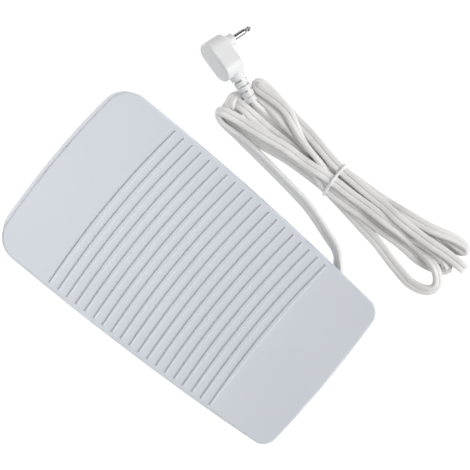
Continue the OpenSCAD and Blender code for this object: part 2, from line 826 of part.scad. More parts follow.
// Depth from the housing's heel-side tangent to its round face at a terminal's near corner
function terminal_inset(i) =
    let (h = max(0, abs(i) * terminal_step - terminal_w / 2), r = pot_d / 2) r - sqrt(r * r - h * h);

module circuit_board() {
    color([0.14, 0.36, 0.22]) at_hinge() difference() {
        translate([board_x, board_y, board_z]) cube([board_w, board_l, board_t]);
        for (p = board_holes)
            pilot([p[0], p[1], board_z - PAST], board_t + PAST);
    }
}

module board_screws() {
    color([0.75, 0.75, 0.77]) at_hinge() for (p = board_holes)
        translate([p[0], p[1], board_top]) screw(board_t + board_post_h + floor_bite - screw_gap);
}

module resistors() {
    color([0.78, 0.70, 0.55]) at_hinge() for (i = [0:resistor_count - 1])
        translate([board_x + board_w / 3, board_y + board_l / 2 + (i - 1) * resistor_step, board_top]) {
            lift = resistor_d / 2 + resistor_gap;
            translate([0, 0, lift]) bar(-resistor_l / 2, resistor_l, resistor_d / 2);
            translate([0, 0, lift]) bar(-resistor_span / 2, resistor_span, leg_r);
            for (side = [-1, 1])
                translate([side * (resistor_span / 2 - leg_r), 0, 0]) cylinder(r = leg_r, h = lift);
        }
}

module lead_connector() {
    rim = 1;
    recess = 2;
    color([0.92, 0.90, 0.84]) at_hinge() translate([connector_x, board_y + rim, board_top]) difference() {
        cube([connector_w, connector_d, connector_h]);
        for (side = [-1, 1])
            translate([connector_w / 2 + side * connector_w / 5, -PAST, connector_h / 2])
                rotate([-90, 0, 0]) cylinder(r = core_r + core_gap, h = connector_d - rim);
        translate([rim, connector_d - 2 * rim, connector_h - recess])
            cube([connector_w - 2 * rim, connector_d, recess + PAST]);
    }
}

module lead_wires() {
    wire_in = connector_x + connector_w / 2;
    wire_z = board_top + connector_h / 2;
    start = lead_route[0] - [0, hinge_y, 0];
    color([0.85, 0.25, 0.20]) at_hinge() for (side = [-1, 1])
        sweep([start + [-0.25, side * core_at, 0], start + [-3, side * core_at + 0.4, 0.3],
            start + [-5 + side * 1.3, wire_turn, 1], start + [-5.5 + side * 1.3, 9, 2.4],
            [wire_in + side * connector_w / 5 - 2, board_y - wire_slack, wire_z - 1.5],
            [wire_in + side * connector_w / 5, board_y - wire_seat, wire_z],
            [wire_in + side * connector_w / 5, board_y + wire_seat, wire_z]], round_section(core_r, 8));
}

module pot_wires() {
    color([0.90, 0.80, 0.25]) at_hinge() for (i = [-1:1]) {
        pad = [pad_x + i * terminal_step, board_y + board_l - pad_inset, board_top + core_r];
        tab = [terminal_x + terminal_t / 2, terminal_y - 0.05, pinion_z + i * terminal_step];
        sweep([tab, tab + [0, -3, 0], tab + [i * 1.5, -7, -2 - i], [pad[0], pad[1] + 4, pad[2] + 1.5],
            [pad[0], pad[1] + 1, pad[2] + 0.1], pad], round_section(core_r, 8));
    }
}

module cord_grommet() {
    color([0.86, 0.85, 0.82]) at_exit(exit_z) difference() {
        union() {
            flat_bar(inner_lip, flange_lip - inner_lip, grommet_w, grommet_h);
            for (x = [inner_lip, 0])
                flat_bar(x, flange_lip, grommet_w + 2 * flange_reach, grommet_h + 2 * flange_reach);
        }
        flat_bar(-2 * wall_t, 4 * wall_t, cord_w + 2 * cord_gap, cord_t + 2 * cord_gap);
    }
}

module cord_clamp() {
    slot = cord_w + 2 * clamp_side_gap;
    color([0.20, 0.20, 0.21]) at_exit() difference() {
        translate([clamp_x - clamp_w / 2, -clamp_l / 2, floor_z]) cube([clamp_w, clamp_l, clamp_top - floor_z]);
        translate([clamp_x - clamp_w, -slot / 2, floor_z - PAST])
            cube([2 * clamp_w, slot, clamp_top - clamp_t - floor_z + PAST]);
        for (side = [-1, 1]) pilot([clamp_x, side * clamp_hole, floor_z - PAST], clamp_top - floor_z + PAST);
    }
}

module clamp_screws() {
    color([0.75, 0.75, 0.77]) at_exit() for (side = [-1, 1])
        translate([clamp_x, side * clamp_hole, clamp_top]) screw(clamp_top - floor_z + floor_bite - screw_gap);
}

module cord_lead() {
    color([0.86, 0.85, 0.82]) sweep(lead_route, flat_section(cord_w, cord_t));
}

// Flat ring round the waist of the hank: its width, its reach past the hank and its depth in it
module tie_band(width, out, depth) {
    waist = hank_waist_x[1] - hank_waist_x[0];
    translate([hank_waist_x[0], hank_waist_y, 0]) rotate([90, 0, 0]) linear_extrude(width, center = true)
        difference() {
            translate([-out, -out]) square([waist + 2 * out, hank_h + 2 * out]);
            translate([depth, depth]) square([waist - 2 * depth, hank_h - 2 * depth]);
        }
}

// Outer form of the folded cord: lobes at the ends and a waist under the tie
module cord_hank() {
    color([0.84, 0.83, 0.80]) at_cord() difference() {
        linear_extrude(hank_h) {
            for (lobe = hank_lobes) translate([lobe[0], lobe[1]]) circle(lobe[2]);
            polygon(hank_edge);
        }
        tie_band(tie_w + 2 * tie_gap, PAST, tie_t + tie_gap);
    }
}

module hank_tie() {
    color([0.95, 0.95, 0.95]) at_cord() tie_band(tie_w, 0, tie_t);
}

// The cord leaves the boot standing on edge
module cord_tail() {
    color([0.86, 0.85, 0.82]) at_cord()
        sweep(tail_lay, [for (q = flat_section(cord_w, cord_t)) [-q[1], q[0]]]);
}

// Plug frame: x along the pin, y away from the boot
module at_plug() {
    at_cord() translate(plug_at) rotate([0, 0, plug_yaw]) rotate([0, plug_roll, 0]) children();
}

// Boot frame: z from the plug's body towards the cord
module at_boot() {
    at_plug() translate([boot_shift, boot_sink - plug_back, 0]) rotate([0, 0, -boot_bend])
        rotate([90 + boot_drop, 0, 0]) children();
}

module plug_boot() {
    color([0.86, 0.86, 0.85]) at_boot() difference() {
        union() {
            cylinder(d = boot_d, h = boot_sink);
            translate([0, 0, boot_sink]) cylinder(d1 = boot_d, d2 = boot_end_d, h = boot_l);
        }
        for (i = [1:boot_slots])
            translate([0, 0, boot_sink + i * boot_l / (boot_slots + 1) - slot_w / 2]) boot_slot(i);
    }
}

// Pair of slots that leave the core and two webs standing
module boot_slot(i) {
    for (turn = [0, 180])
        rotate(turn + 20 + 90 * (i % 2)) rotate_extrude(angle = 140)
            translate([boot_core_r, 0]) square([boot_d, slot_w]);
}

// Shoulder and collar along z, from inside the body
module plug_collar() {
    cylinder(d = shoulder_d, h = JOIN);
    translate([0, 0, JOIN]) cylinder(d1 = shoulder_d, d2 = collar_d, h = shoulder_l);
    cylinder(d = collar_d, h = JOIN + shoulder_l + collar_l);
}

module plug_body() {
    back = plug_back - plug_t / 2;
    low = plug_face - plug_depth;
    color([0.88, 0.88, 0.88]) difference() {
        at_plug() {
            for (y = [0, -back])
                translate([0, y, 0]) rotate([0, 90, 0]) rotate_extrude() plug_section(low, true);
            rotate([90, 0, 0]) linear_extrude(back) plug_section(low, false);
            translate([plug_face - JOIN, 0, 0]) rotate([0, 90, 0]) plug_collar();
        }
        at_boot() cylinder(d = boot_d, h = boot_sink + boot_d);
        at_plug() bar(collar_face - sleeve_sink, sleeve_sink + PAST, stem_d / 2);
    }
}

// Section with rounded corners: half of it about the axis, or the whole
module plug_section(low, half) {
    r = plug_t / 2;
    if (half) {
        translate([0, low]) square([r - plug_round, plug_depth]);
        translate([0, low + plug_round]) square([r, plug_depth - 2 * plug_round]);
        for (y = [low + plug_round, low + plug_depth - plug_round])
            translate([r - plug_round, y]) circle(plug_round);
    } else {
        translate([low, plug_round - r]) square([plug_depth, plug_t - 2 * plug_round]);
        translate([low + plug_round, -r]) square([plug_depth - 2 * plug_round, plug_t]);
        for (x = [low + plug_round, low + plug_depth - plug_round], y = [plug_round - r, r - plug_round])
            translate([x, y]) circle(plug_round);
    }
}

module plug_sleeve() {
    color([0.82, 0.82, 0.83]) at_plug() {
        bar(collar_face, sleeve_l, sleeve_d / 2);
        bar(collar_face - sleeve_sink, sleeve_sink + JOIN, stem_d / 2);
    }
}

module plug_insulator() {
    color([0.12, 0.12, 0.12]) at_plug() bar(collar_face + sleeve_l, ring_l, ring_d / 2);
}

// Tip with a neck that the socket's spring snaps into
module plug_tip() {
    color([0.82, 0.82, 0.83]) at_plug() translate([collar_face + sleeve_l + ring_l, 0, 0]) rotate([0, 90, 0])
        rotate_extrude() polygon([[0, 0], [ring_d / 2, 0], [tip_neck_r, tip_l / 4], [tip_neck_r, tip_l / 3],
            [tip_r, tip_l / 2], [tip_r - ring_step, tip_l * 2 / 3], [tip_end_r, tip_l], [0, tip_l]]);
}

// Arc of a drawn section whose origin lies at a radius, with its middle on the centre line at y
module arc_along_x(r, y, half_angle) {
    translate([0, y - r, 0]) rotate(90 - half_angle)
        rotate_extrude(angle = 2 * half_angle, $fn = BIG_FN) translate([r, 0]) children();
}

// Bowed rib that narrows towards its ends, because its two flanks differ in radius
module grip_rib(reach) {
    far = 2 * rib_w;
    toe_half = asin(reach / rib_toe_r);
    heel_half = asin((reach + far) / rib_heel_r);
    difference() {
        arc_along_x(rib_toe_r, rib_w / 2, toe_half)
            polygon([[-far, -JOIN], [0, -JOIN], [0, 0], [-rib_draft, rib_h], [-far, rib_h]]);
        arc_along_x(rib_heel_r, -rib_w / 2, heel_half)
            polygon([[-far, -2 * JOIN], [0, -2 * JOIN], [0, 0], [2 * rib_draft, 2 * rib_h], [-far, 2 * rib_h]]);
    }
}

module grip_ribs() {
    for (i = [0:rib_count - 1]) {
        v = toe_v - rib_from_toe - i * rib_pitch;
        translate([0, v, top_over_hinge]) grip_rib(half_width(v) - rib_inset);
    }
}

module cover_shell() {
    low = top_over_hinge - skirt_toe - PAST;
    difference() {
        bowed_form(heel_v, toe_v, 0, low, top_over_hinge, edge_r);
        bowed_form(heel_v + skirt_t, toe_v - skirt_t, skirt_t, low - PAST, under_w);
        translate([0, heel_v, top_over_hinge - skirt_heel]) rotate([-skirt_slope, 0, 0])
            translate([-WIDE / 2, -WIDE / 4, -WIDE]) cube(WIDE);
    }
}

module catch_hook() {
    across(hook_x - hook_w / 2, hook_w) {
        translate([hook_v - hook_t, barb_low_w]) square([hook_t, under_w + JOIN - barb_low_w]);
        polygon([[hook_v - hook_t / 2, barb_high_w], [barb_v, barb_high_w], [hook_v, barb_low_w],
            [hook_v - hook_t / 2, barb_low_w]]);
    }
}

// Seat that is level at rest, with a spigot inside the spring
module cover_spring_seat() {
    intersection() {
        at_hinge() translate([spring_x, spring_y, spring_high]) {
            cylinder(d = spring_seat_d, h = spring_seat_d);
            translate([0, 0, -spigot_h]) cylinder(d = spigot_d, h = spigot_h + JOIN);
        }
        at_cover() translate([-WIDE / 2, -WIDE / 4, under_w + JOIN - WIDE]) cube(WIDE);
    }
}

module treadle_cover() {
    lug_x = hinge_x - post_t / 2 - lug_gap - lug_t / 2;
    color([0.84, 0.86, 0.88]) {
        at_cover() difference() {
            union() {
                cover_shell();
                grip_ribs();
                both_sides() {
                    across(lug_x - lug_t / 2, lug_t) hinge_profile(under_w + JOIN);
                    catch_hook();
                }
                for (v = flange_holes)
                    translate([flange_hole_x, v, sector_top]) cylinder(d = boss_d, h = boss_h + JOIN);
            }
            bar(-hinge_x, 2 * hinge_x, pin_d / 2 + run_gap);
            for (v = flange_holes)
                translate([flange_hole_x, v, sector_top - PAST])
                    cylinder(d = screw_d + 2 * screw_gap, h = sector_bite + PAST);
        }
        both_sides() cover_spring_seat();
    }
}

module sector_gear() {
    mesh = mesh_angle - rest_slope;
    low = mesh + (first_tooth - 0.5) * tooth_step;
    high = mesh + (last_tooth + 0.5) * tooth_step;
    color([0.93, 0.92, 0.88]) at_cover() difference() {
        union() {
            across(sector_x, sector_t)
                polygon(concat([polar(sector_root - sector_low_back, low), polar(sector_root, low)],
                    [for (k = [first_tooth:last_tooth]) each tooth(sector_teeth, mesh + k * tooth_step)],
                    [polar(sector_root, high), [sector_root - flange_end, sector_top],
                        [sector_root - sector_back, sector_top]]));
            translate([sector_x - flange_w, sector_root - sector_back, sector_top - flange_t])
                cube([flange_w + JOIN, sector_back - flange_end, flange_t]);
        }
        for (v = flange_holes)
            pilot([flange_hole_x, v, sector_top - flange_t - PAST], flange_t + PAST);
    }
}

module sector_screws() {
    color([0.75, 0.75, 0.77]) at_cover() for (v = flange_holes)
        translate([flange_hole_x, v, sector_top - flange_t]) mirror([0, 0, 1])
            screw(flange_t + sector_bite - screw_gap);
}

// Pinion turned so that the middle tooth of the mesh sits in one of its gaps
module drive_pinion() {
    step = 360 / pinion_teeth;
    color([0.95, 0.94, 0.90]) at_hinge() at_pinion() across(pinion_x, pinion_w) difference() {
        polygon([for (k = [0:pinion_teeth - 1]) each tooth(pinion_teeth, mesh_angle + 180 + (k + 0.5) * step)]);
        circle(d = shaft_d);
    }
}

module pot_shaft() {
    from = pinion_x - shaft_stub;
    to = pot_x + pot_l - pot_back_t - shaft_end_gap;
    color([0.78, 0.78, 0.79]) at_hinge() at_pinion() bar(from, to - from, shaft_d / 2);
}

base_shell();
rubber_feet();
hinge_pin();
hinge_clips();
return_springs();
bump_stops();
pot_bracket();
bracket_screws();
pot_housing();
pot_nut();
pot_terminals();
circuit_board();
board_screws();
resistors();
lead_connector();
lead_wires();
pot_wires();
cord_grommet();
cord_clamp();
clamp_screws();
cord_lead();
cord_hank();
hank_tie();
cord_tail();
plug_boot();
plug_body();
plug_sleeve();
plug_insulator();
plug_tip();
treadle_cover();
sector_gear();
sector_screws();
drive_pinion();
pot_shaft();
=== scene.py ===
import math

import bmesh
import bpy
import numpy as np
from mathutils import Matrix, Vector


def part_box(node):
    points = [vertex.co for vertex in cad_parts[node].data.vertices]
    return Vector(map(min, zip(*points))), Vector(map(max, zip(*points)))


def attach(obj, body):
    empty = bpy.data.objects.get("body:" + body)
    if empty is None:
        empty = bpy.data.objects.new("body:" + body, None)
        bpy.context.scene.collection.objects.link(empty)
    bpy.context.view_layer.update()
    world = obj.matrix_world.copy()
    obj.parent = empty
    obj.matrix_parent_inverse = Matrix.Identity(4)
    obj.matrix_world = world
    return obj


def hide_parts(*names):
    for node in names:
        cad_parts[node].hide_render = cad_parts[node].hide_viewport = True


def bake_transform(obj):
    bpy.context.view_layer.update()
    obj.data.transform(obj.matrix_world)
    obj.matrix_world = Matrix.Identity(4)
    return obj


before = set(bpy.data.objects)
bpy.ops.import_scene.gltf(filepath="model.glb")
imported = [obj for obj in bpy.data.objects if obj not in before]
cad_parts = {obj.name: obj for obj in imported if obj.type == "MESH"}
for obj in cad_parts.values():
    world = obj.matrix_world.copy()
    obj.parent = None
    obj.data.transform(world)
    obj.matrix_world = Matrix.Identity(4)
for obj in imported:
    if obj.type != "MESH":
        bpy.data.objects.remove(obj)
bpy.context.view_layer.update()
scene = bpy.context.scene
MM = 0.001

# Camera: straight above the pedal, turned so that the toe is at the upper left.
LENS = 130.46
SENSOR = 36.0
FARTHEST = 20.0
CAMERA_AT = (0.03183, -0.0075, 1.010)
CAMERA_TURN = math.radians(-50.228)
camera_data = bpy.data.cameras.new("camera")
camera_data.lens = LENS
camera_data.sensor_width = SENSOR
camera_data.clip_end = FARTHEST
camera = bpy.data.objects.new("camera", camera_data)
camera.location = CAMERA_AT
camera.rotation_euler = (0.0, 0.0, CAMERA_TURN)
scene.collection.objects.link(camera)
scene.camera = camera
scene.view_settings.view_transform = "Standard"

# Materials: a colour that drifts a little over the surface, and a fine moulded grain.
DRIFT_DETAIL = 3.0
DRIFT_ENDS = (0.3, 0.7)
GRAIN_DETAIL = 2.0
GRAIN_DEPTH = 0.0002


def procedural(name, low, high, rough, metal=0.0, drift=18.0, grain=900.0, bump=0.05, gloss=0.35):
    """A material between two colours; drift and grain are the scales of its noises."""
    mat = bpy.data.materials.new(name)
    mat.use_nodes = True
    tree = mat.node_tree
    shader = tree.nodes["Principled BSDF"]
    place = tree.nodes.new("ShaderNodeTexCoord")
    drift_noise = tree.nodes.new("ShaderNodeTexNoise")
    drift_noise.inputs["Scale"].default_value = drift
    drift_noise.inputs["Detail"].default_value = DRIFT_DETAIL
    ramp = tree.nodes.new("ShaderNodeValToRGB")
    for stop, position, colour in zip(ramp.color_ramp.elements, DRIFT_ENDS, (low, high)):
        stop.position = position
        stop.color = (*colour, 1.0)
    grain_noise = tree.nodes.new("ShaderNodeTexNoise")
    grain_noise.inputs["Scale"].default_value = grain
    grain_noise.inputs["Detail"].default_value = GRAIN_DETAIL
    bump_node = tree.nodes.new("ShaderNodeBump")
    bump_node.inputs["Strength"].default_value = bump
    bump_node.inputs["Distance"].default_value = GRAIN_DEPTH
    link = tree.links.new
    link(place.outputs["Object"], drift_noise.inputs["Vector"])
    link(drift_noise.outputs["Fac"], ramp.inputs["Fac"])
    link(ramp.outputs["Color"], shader.inputs["Base Color"])
    link(place.outputs["Object"], grain_noise.inputs["Vector"])
    link(grain_noise.outputs["Fac"], bump_node.inputs["Height"])
    link(bump_node.outputs["Normal"], shader.inputs["Normal"])
    shader.inputs["Roughness"].default_value = rough
    shader.inputs["Metallic"].default_value = metal
    shader.inputs["Specular IOR Level"].default_value = gloss
    return mat


# Each slot's darker colour, lighter colour and roughness, and then what differs from the defaults.
LOOKS = {
    "cover_plastic": ((0.585, 0.617, 0.658), (0.605, 0.637, 0.678), 0.5),
    "base_plastic": ((0.55, 0.58, 0.62), (0.57, 0.60, 0.64), 0.6),
    "rubber": ((0.02, 0.02, 0.022), (0.03, 0.03, 0.032), 0.8),
    "grommet_rubber": ((0.55, 0.54, 0.52), (0.6, 0.59, 0.57), 0.7),
    "steel": ((0.5, 0.51, 0.53), (0.6, 0.61, 0.63), 0.3),
    "spring_steel": ((0.38, 0.39, 0.41), (0.5, 0.51, 0.53), 0.3),
    "screw_steel": ((0.55, 0.56, 0.58), (0.66, 0.67, 0.69), 0.28),
    "dark_plastic": ((0.03, 0.032, 0.035), (0.045, 0.047, 0.05), 0.5),
    "black_plastic": ((0.012, 0.012, 0.012), (0.02, 0.02, 0.02), 0.35),
    "brass": ((0.6, 0.47, 0.2), (0.7, 0.56, 0.28), 0.3),
    "board": ((0.02, 0.12, 0.05), (0.03, 0.15, 0.06), 0.4),
    "resistor": ((0.55, 0.42, 0.22), (0.62, 0.48, 0.27), 0.4),
    "connector_plastic": ((0.72, 0.7, 0.64), (0.78, 0.76, 0.7), 0.5),
    "red_wire": ((0.45, 0.02, 0.015), (0.52, 0.03, 0.02), 0.4),
    "yellow_wire": ((0.65, 0.42, 0.02), (0.72, 0.48, 0.03), 0.4),
    "cord_jacket": ((0.745, 0.734, 0.722), (0.79, 0.78, 0.77), 0.5),
    "tie_plastic": ((0.87, 0.87, 0.87), (0.91, 0.91, 0.91), 0.35),
    "plug_plastic": ((0.70, 0.70, 0.70), (0.73, 0.73, 0.73), 0.4),
    # The plated steel's colour is much darker than real plating, which paints dark reflections on
    # the pin.
    "plated_steel": ((0.27, 0.266, 0.262), (0.31, 0.306, 0.302), 0.1),
    "gear_plastic": ((0.78, 0.77, 0.73), (0.83, 0.82, 0.78), 0.45),
    "aluminium": ((0.6, 0.6, 0.61), (0.7, 0.7, 0.71), 0.3),
}
EXTRAS = {
    "steel": {"metal": 1.0, "drift": 60.0},
    "spring_steel": {"metal": 1.0, "drift": 80.0},
    "screw_steel": {"metal": 1.0, "drift": 80.0},
    "brass": {"metal": 1.0, "drift": 90.0},
    "board": {"drift": 70.0},
    "resistor": {"drift": 120.0},
    "red_wire": {"drift": 90.0},
    "yellow_wire": {"drift": 90.0},
    "cord_jacket": {"drift": 45.0, "grain": 600.0},
    "tie_plastic": {"drift": 120.0},
    "plug_plastic": {"drift": 60.0},
    "plated_steel": {"metal": 1.0, "drift": 60.0, "bump": 0.01},
    "aluminium": {"metal": 1.0, "drift": 70.0},
}
SLOTS = {name: procedural(name, *look, **EXTRAS.get(name, {})) for name, look in LOOKS.items()}
NODE_SLOTS = {
    "treadle_cover": "cover_plastic",
    "base_shell": "base_plastic",
    "rubber_feet": "rubber",
    "bump_stops": "rubber",
    "cord_grommet": "grommet_rubber",
    "hinge_pin": "steel",
    "hinge_clips": "spring_steel",
    "return_springs": "spring_steel",
    "pot_bracket": "steel",
    "bracket_screws": "screw_steel",
    "board_screws": "screw_steel",
    "clamp_screws": "screw_steel",
    "sector_screws": "screw_steel",
    "pot_housing": "dark_plastic",
    "pot_nut": "steel",
    "pot_terminals": "brass",
    "circuit_board": "board",
    "resistors": "resistor",
    "lead_connector": "connector_plastic",
    "lead_wires": "red_wire",
    "pot_wires": "yellow_wire",
    "cord_clamp": "dark_plastic",
    "cord_lead": "cord_jacket",
    "cord_hank": "cord_jacket",
    "hank_tie": "tie_plastic",
    "cord_tail": "cord_jacket",
    "plug_boot": "plug_plastic",
    "plug_body": "plug_plastic",
    "plug_sleeve": "plated_steel",
    "plug_insulator": "black_plastic",
    "plug_tip": "plated_steel",
    "sector_gear": "gear_plastic",
    "drive_pinion": "gear_plastic",
    "pot_shaft": "aluminium",
}
for node_name, node_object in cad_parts.items():
    node_object.data.materials.clear()
    node_object.data.materials.append(SLOTS[NODE_SLOTS[node_name]])

# The cord's route: x, y and z in millimetres, and the turn of its flat section in degrees, where
# 0 lies flat and 90 stands on edge.
CORD_W = 6.6
CORD_T = 3.3
ROUTE_STEP = 2.4
LEAD = [
    (38.62, -67.15, 8.4, 0), (42.61, -67.43, 8.4, 0), (47.1, -67.74, 8.4, 0),
    (51.09, -68.02, 8.4, 0), (53.4, -67.9, 8.4, 10), (56, -66.3, 8.2, 40), (58.6, -64.2, 7.6, 60),
    (61.2, -61.8, 6.8, 68), (64, -57.5, 5.4, 54), (66.5, -50, 3.9, 38), (69.75, -40, 2.8, 33),
    (72.4, -30, 2.7, 33), (73.8, -20, 2.75, 36), (74.9, -10, 2.75, 38), (75.8, 0, 2.8, 39),
    (76.6, 8, 2.8, 39), (77.2, 16, 2.8, 39), (77.6, 23, 2.95, 42), (77.9, 30, 3.35, 65),
    (78, 37, 3.6, 88),
]
FOLD_A = [
    (78.5, 42, 3.9, 90), (79.6, 45.2, 4.8, 82), (81.9, 46.4, 6.4, 50), (83.7, 44.2, 7.8, 16),
]
RUN_1 = [
    (84.6, 40, 8.3, 5), (86.2, 31, 8.4, 0), (87.8, 20, 8.4, 0), (89.1, 10, 8.4, 0),
    (90, 0, 8.4, 0), (91.1, -11, 8.4, 0), (92.3, -21, 8.5, 0), (93.2, -32, 8.6, 0),
    (93.5, -42, 8.4, 0), (94, -52, 8, 5), (94.7, -62, 7.2, 4), (95.4, -72, 6.4, 10),
    (96, -82, 5.8, 18), (96, -92, 5.2, 26), (95.6, -100, 4.7, 32),
]
LOOP_R3 = [
    (94.3, -106.8, 4.3, 36), (91.8, -112.6, 4, 38), (88.2, -116.6, 3.7, 38),
    (84, -118.2, 3.5, 36), (80, -116.4, 3.3, 32), (77.3, -111, 3.1, 28),
]
RUN_2 = [
    (76.3, -104, 2.8, 22), (77, -99, 2.6, 18), (78.7, -90, 2.4, 14), (81.1, -80, 2.3, 13),
    (83.2, -70, 2.3, 14), (84.6, -60, 2.3, 16), (85.6, -50, 2.3, 16), (86.6, -42, 2.2, 14),
    (87.6, -32, 2.2, 14), (87.8, -20, 2.3, 18), (87.2, -9, 2.3, 20), (85.8, 1, 2.7, 36),
    (84.1, 10, 2.8, 41), (82.6, 20, 2.75, 38), (82.3, 29, 2.4, 22), (82.4, 36, 1.9, 4),
    (83.4, 41, 1.8, 0), (86.2, 43.8, 1.8, 0),
]
FOLD_B1 = [(89.8, 44, 2.4, 6), (92, 43.7, 5, 8), (92.2, 41.6, 7.5, 6)]
RUN_3 = [
    (92.6, 36.4, 7.8, 3), (92.8, 29, 6.8, 0), (92.8, 20, 5.7, 0), (93.1, 10, 5.2, 0),
    (93.3, 2, 5.1, 0), (92.8, -8, 5.1, 0), (90.8, -19, 5.1, 0), (88.2, -29, 5.1, 0),
    (87.6, -38, 5, 0), (88.2, -50, 4.4, 4), (89.4, -62, 3.5, 10), (90.3, -72, 2.9, 12),
    (90.8, -82, 2.5, 12), (90.8, -92, 2.1, 8), (91, -101, 1.9, 2),
]
FOLD_R4 = [
    (92.2, -109, 2, -6), (94.2, -114.4, 2.7, -26), (96.6, -116.6, 3.1, -40),
    (98.8, -114.6, 3.3, -30),
]
RUN_4 = [
    (99.4, -106, 3.8, -12), (98.6, -94, 4.4, 6), (97.4, -80, 4, 25), (96, -66, 3, 15),
    (95, -50, 2, 0), (94.3, -32, 1.75, 0), (95, -14, 1.75, 0), (96, 2, 1.75, 0),
    (96.7, 14, 1.75, 0), (96.6, 24, 1.9, 0), (95.6, 31.6, 2.5, 0), (93.4, 36, 3.6, 4),
    (89.8, 39.4, 4.6, 18),
]
FOLD_B2 = [
    (88.4, 42.4, 5.5, 26), (90.8, 44.5, 6.2, 26), (94, 44.2, 5.7, 24), (96.8, 42.2, 4.4, 20),
]
RUN_5 = [
    (99.8, 41.4, 3.4, 22), (102.1, 39.8, 4.3, 32), (102.6, 36.4, 5.4, 34), (102.6, 29.6, 6.2, 28),
    (101.9, 20, 6.2, 28), (100.4, 11, 5.7, 36), (99.6, 3, 4.5, 40), (99.6, -4, 3, 34),
    (100, -12, 2, 10), (100.8, -22, 1.75, 0), (101, -32, 1.75, 0), (100.9, -55, 1.75, 0),
    (101, -75, 1.75, 0), (101.6, -95, 1.75, 0), (102.4, -110, 1.75, 0),
]
FOLD_R2 = [(102.8, -120, 2.2, 0), (102.9, -123.6, 4.4, 0), (102.9, -121.8, 6.5, 0)]
RUN_6 = [
    (102.8, -115, 7.5, 0), (102.3, -105, 8, 0), (101.5, -92, 8.4, 0), (100.9, -78, 8.5, 0),
    (100.9, -60, 8.6, 0), (101, -45, 8.6, 0), (101.3, -32, 8.5, 0), (102.4, -20, 8.2, 0),
    (104.1, -10, 7.4, 0), (105.7, 0, 6.4, 0), (106.9, 10, 5.6, 0), (108.1, 20, 5.1, 0),
    (109.2, 26, 4.9, -4), (110.2, 31.6, 5.1, -14),
]
FOLD_C = [
    (110.5, 35.8, 5.6, -24), (109.9, 38.6, 6.4, -28), (108.6, 39.6, 7.2, -28),
    (107.4, 38.6, 8, -24),
]
RUN_7 = [
    (107.4, 35, 8.6, -16), (107.8, 29, 9, -6), (107.5, 20, 9, 0), (106.5, 14, 8.9, 4),
    (104, 8, 8.7, 24), (101.1, 1, 8.1, 60), (99.4, -6, 7.6, 82), (98.2, -13, 7, 84),
    (97.2, -20, 6.2, 72), (96.3, -27, 5.3, 36), (95.8, -34, 5, 6), (96.2, -46, 4.9, 0),
    (97.6, -60, 4.9, 0), (100.2, -75, 4.9, 0), (103.6, -89, 4.5, -12), (105.8, -98, 3.6, -26),
    (107.1, -106, 3.3, -44), (108.1, -113, 3.4, -62),
]
FOLD_R1 = [
    (109.5, -117.8, 3.8, -76), (111.7, -119, 4.4, -68), (113.3, -116.6, 5, -50),
    (113.1, -112, 5.7, -36),
]
RUN_8 = [
    (112.1, -107, 6.2, -26), (110.3, -101, 6.5, -20), (108, -93, 6.7, -14), (106, -84, 6.3, -6),
    (104.2, -72, 5.3, 0), (102.6, -58, 5, 0), (101.7, -45, 5, 0), (101.5, -32, 5.1, 0),
    (100.6, -22, 4.9, 0), (99.2, -13, 4.2, 4), (98.3, -4, 3.2, 4), (97.9, 6, 2.7, 4),
    (97.6, 15, 4, 28), (97.4, 22, 5.4, 36), (97.5, 27.6, 6.9, 44), (98, 31.6, 8.1, 62),
    (98.74, 34.96, 8.87, 90), (99.69, 37.75, 9.44, 90),
]
ROUTE = (
    LEAD + FOLD_A + RUN_1 + LOOP_R3 + RUN_2 + FOLD_B1 + RUN_3 + FOLD_R4 + RUN_4 + FOLD_B2
    + RUN_5 + FOLD_R2 + RUN_6 + FOLD_C + RUN_7 + FOLD_R1 + RUN_8
)
SHORTEST = 1e-6


def smooth(points, step):
    """Points about step apart on a centripetal spline; the fourth number follows along."""
    ends = [2 * points[0] - points[1]] + points + [2 * points[-1] - points[-2]]
    out = []
    for i in range(1, len(ends) - 2):
        p = ends[i - 1:i + 3]
        t = [0.0]
        for a, b in zip(p, p[1:]):
            t.append(t[-1] + max((b.xyz - a.xyz).length, SHORTEST) ** 0.5)
        count = max(2, round((p[2].xyz - p[1].xyz).length / step))
        for k in range(count):
            s = t[1] + (t[2] - t[1]) * k / count
            a1 = p[0].lerp(p[1], (s - t[0]) / (t[1] - t[0]))
            a2 = p[1].lerp(p[2], (s - t[1]) / (t[2] - t[1]))
            a3 = p[2].lerp(p[3], (s - t[2]) / (t[3] - t[2]))
            b1 = a1.lerp(a2, (s - t[0]) / (t[2] - t[0]))
            b2 = a2.lerp(a3, (s - t[1]) / (t[3] - t[1]))
            q = b1.lerp(b2, (s - t[1]) / (t[2] - t[1]))
            q.w = p[1].w + (p[2].w - p[1].w) * k / count
            out.append(q)
    out.append(points[-1].copy())
    return out


# The section's width keeps its last level direction where the route is steeper than this.
LEVEL_ENOUGH = 0.7
SIDE_REACH = 3


def mean_directions(vectors, reach):
    """The direction of the mean of each vector and its neighbours up to reach places away."""
    out = []
    for i in range(len(vectors)):
        total = Vector((0.0, 0.0, 0.0))
        for k in range(max(0, i - reach), min(len(vectors), i + reach + 1)):
            total += vectors[k]
        out.append(total.normalized())
    return out


def sides_of(path):
    """The direction of the flat section's width at each point of the route."""
    sides = []
    last = None
    for i, q in enumerate(path):
        along = (path[min(i + 1, len(path) - 1)].xyz - path[max(i - 1, 0)].xyz).normalized()
        flat = Vector((along.y, -along.x, 0.0))
        if flat.length < LEVEL_ENOUGH and last is not None:
            flat = last - along * last.dot(along)
        flat.normalize()
        up = flat.cross(along).normalized()
        turn = math.radians(q.w)
        side = flat * math.cos(turn) + up * math.sin(turn)
        if sides and side.dot(sides[-1]) < 0:
            side = -side
        last = flat if last is None or flat.dot(last) > 0 else -flat
        sides.append(side)
    return mean_directions(sides, SIDE_REACH)


